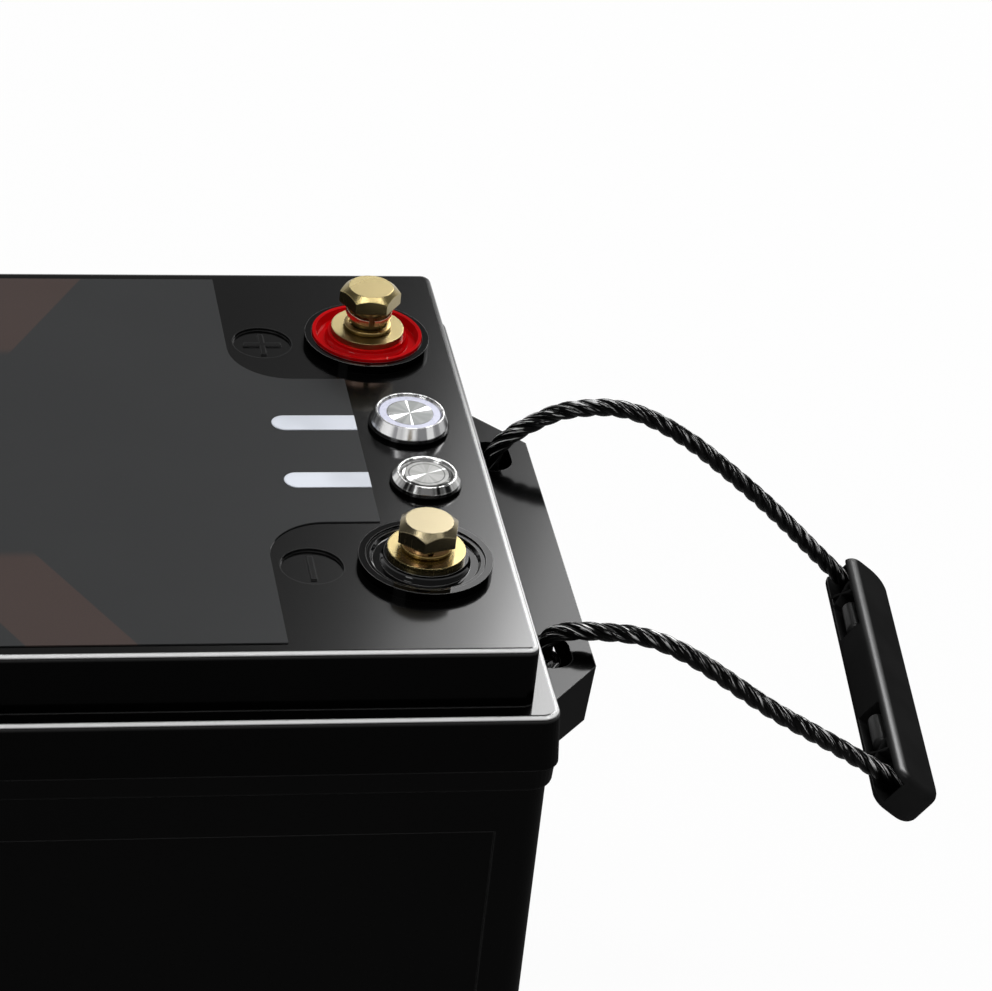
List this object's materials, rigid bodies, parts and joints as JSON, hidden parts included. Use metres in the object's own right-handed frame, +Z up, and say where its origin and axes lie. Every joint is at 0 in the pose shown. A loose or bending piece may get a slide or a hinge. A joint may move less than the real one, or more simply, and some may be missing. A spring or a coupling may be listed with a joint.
{
  "type": "battery pack",
  "caption": "Sealed deep cycle battery pack in a black moulded case, with brass bolt terminals, an alarm button, a power switch and two rope carrying handles.",
  "frame": {"origin": "centre of the base of the case, on the surface it stands on", "axes": "+X to the terminal end, +Y to the side of the positive terminal, +Z up"},
  "size_m": [0.5578, 0.1738, 0.2274],
  "materials": {
    "case_gloss": "gloss",
    "adhesive": "matte",
    "label_film": "satin",
    "tag_white": "satin",
    "terminal_black": "gloss",
    "terminal_red": "gloss",
    "brass": "polished",
    "copper_plated": "polished",
    "seal_rubber": "satin",
    "button_steel": "brushed",
    "light_ring": "satin",
    "spring_steel": "brushed",
    "block_black": "satin",
    "grip_plastic": "satin",
    "bar_plastic": "satin",
    "rope_black": "woven",
    "cell_can": "satin",
    "epoxy_board": "matte",
    "foam": "matte",
    "circuit_green": "satin",
    "aluminium": "satin",
    "lead_red": "satin",
    "lead_black": "satin",
    "tinned_lug": "satin"
  },
  "bodies": {
    "battery": {"case_tub": "case_gloss", "lid_cover": "case_gloss", "lid_seal": "adhesive", "top_label": "label_film", "button_tags": "tag_white", "positive_collar": "terminal_black", "negative_collar": "terminal_black", "positive_dish": "terminal_red", "negative_dish": "terminal_black", "positive_post": "brass", "negative_post": "brass", "post_nuts": "brass", "positive_flat_washer": "brass", "negative_flat_washer": "brass", "alarm_seal": "seal_rubber", "alarm_bezel": "button_steel", "alarm_light_ring": "light_ring", "alarm_spring": "spring_steel", "alarm_block": "block_black", "switch_seal": "seal_rubber", "switch_bezel": "button_steel", "switch_spring": "spring_steel", "switch_block": "block_black", "barrel_nuts": "button_steel", "ear_knots": "rope_black", "cell_1": "cell_can", "cell_2": "cell_can", "cell_3": "cell_can", "cell_4": "cell_can", "cell_spacers": "epoxy_board", "busbars": "copper_plated", "cell_nuts": "spring_steel", "base_foam": "foam", "end_foam": "foam", "mounting_board": "block_black", "bms_board": "circuit_green", "bms_transistors": "block_black", "bms_heat_sink": "aluminium", "bms_screws": "spring_steel", "positive_lead": "lead_red", "cell_negative_lead": "lead_black", "output_negative_lead": "lead_black", "lead_lugs": "tinned_lug"},
    "positive_washer_carrier": {"positive_spring_washer": "copper_plated"},
    "positive_bolt_body": {"positive_bolt": "brass"},
    "negative_washer_carrier": {"negative_spring_washer": "copper_plated"},
    "negative_bolt_body": {"negative_bolt": "brass"},
    "alarm_button": {"alarm_cap": "button_steel"},
    "power_switch": {"switch_cap": "button_steel"},
    "right_handle": {"right_grip": "grip_plastic", "right_grip_bars": "bar_plastic", "right_grip_knots": "rope_black", "right_rope_back": "rope_black", "right_rope_front": "rope_black"},
    "left_handle": {"left_grip": "grip_plastic", "left_grip_bars": "bar_plastic", "left_grip_knots": "rope_black", "left_rope_back": "rope_black", "left_rope_front": "rope_black"}
  },
  "joints": [
    {"name": "positive_bolt_rise", "type": "slide", "parent": "battery", "child": "positive_washer_carrier", "axis": [0, 0, 1], "range_m": [-0.00375, 0.00375], "deforming": ["positive_spring_washer"]},
    {"name": "positive_bolt_turn", "type": "hinge", "parent": "positive_washer_carrier", "child": "positive_bolt_body", "pos_m": [0.1398, 0.048, 0.2194], "axis": [0, 0, 1], "range_deg": [-1081, 1081]},
    {"name": "negative_bolt_rise", "type": "slide", "parent": "battery", "child": "negative_washer_carrier", "axis": [0, 0, 1], "range_m": [0, 0.0075]},
    {"name": "negative_bolt_turn", "type": "hinge", "parent": "negative_washer_carrier", "child": "negative_bolt_body", "pos_m": [0.1398, -0.048, 0.2194], "axis": [0, 0, 1], "range_deg": [0, 2161]},
    {"name": "alarm_press", "type": "slide", "parent": "battery", "child": "alarm_button", "axis": [0, 0, -1], "range_m": [0, 0.0015], "stiffness_N_per_m": 800, "springref_m": -0.001, "deforming": ["alarm_spring"]},
    {"name": "switch_press", "type": "slide", "parent": "battery", "child": "power_switch", "axis": [0, 0, -1], "range_m": [0, 0.0015], "stiffness_N_per_m": 800, "springref_m": -0.001, "deforming": ["switch_spring"]},
    {"name": "right_handle_swing", "type": "hinge", "parent": "battery", "child": "right_handle", "pos_m": [0.1718, 0, 0.184], "axis": [0, -1, 0], "range_deg": [-50, 110], "deforming": ["right_rope_back", "right_rope_front"]},
    {"name": "left_handle_swing", "type": "hinge", "parent": "battery", "child": "left_handle", "pos_m": [-0.1718, 0, 0.184], "axis": [0, 1, 0], "range_deg": [-50, 110], "deforming": ["left_rope_back", "left_rope_front"]}
  ],
  "couplings": [
    {"joint": "positive_bolt_turn", "follows": "positive_bolt_rise", "rad_per_m": 5026.5},
    {"joint": "negative_bolt_turn", "follows": "negative_bolt_rise", "rad_per_m": 5026.5}
  ]
}
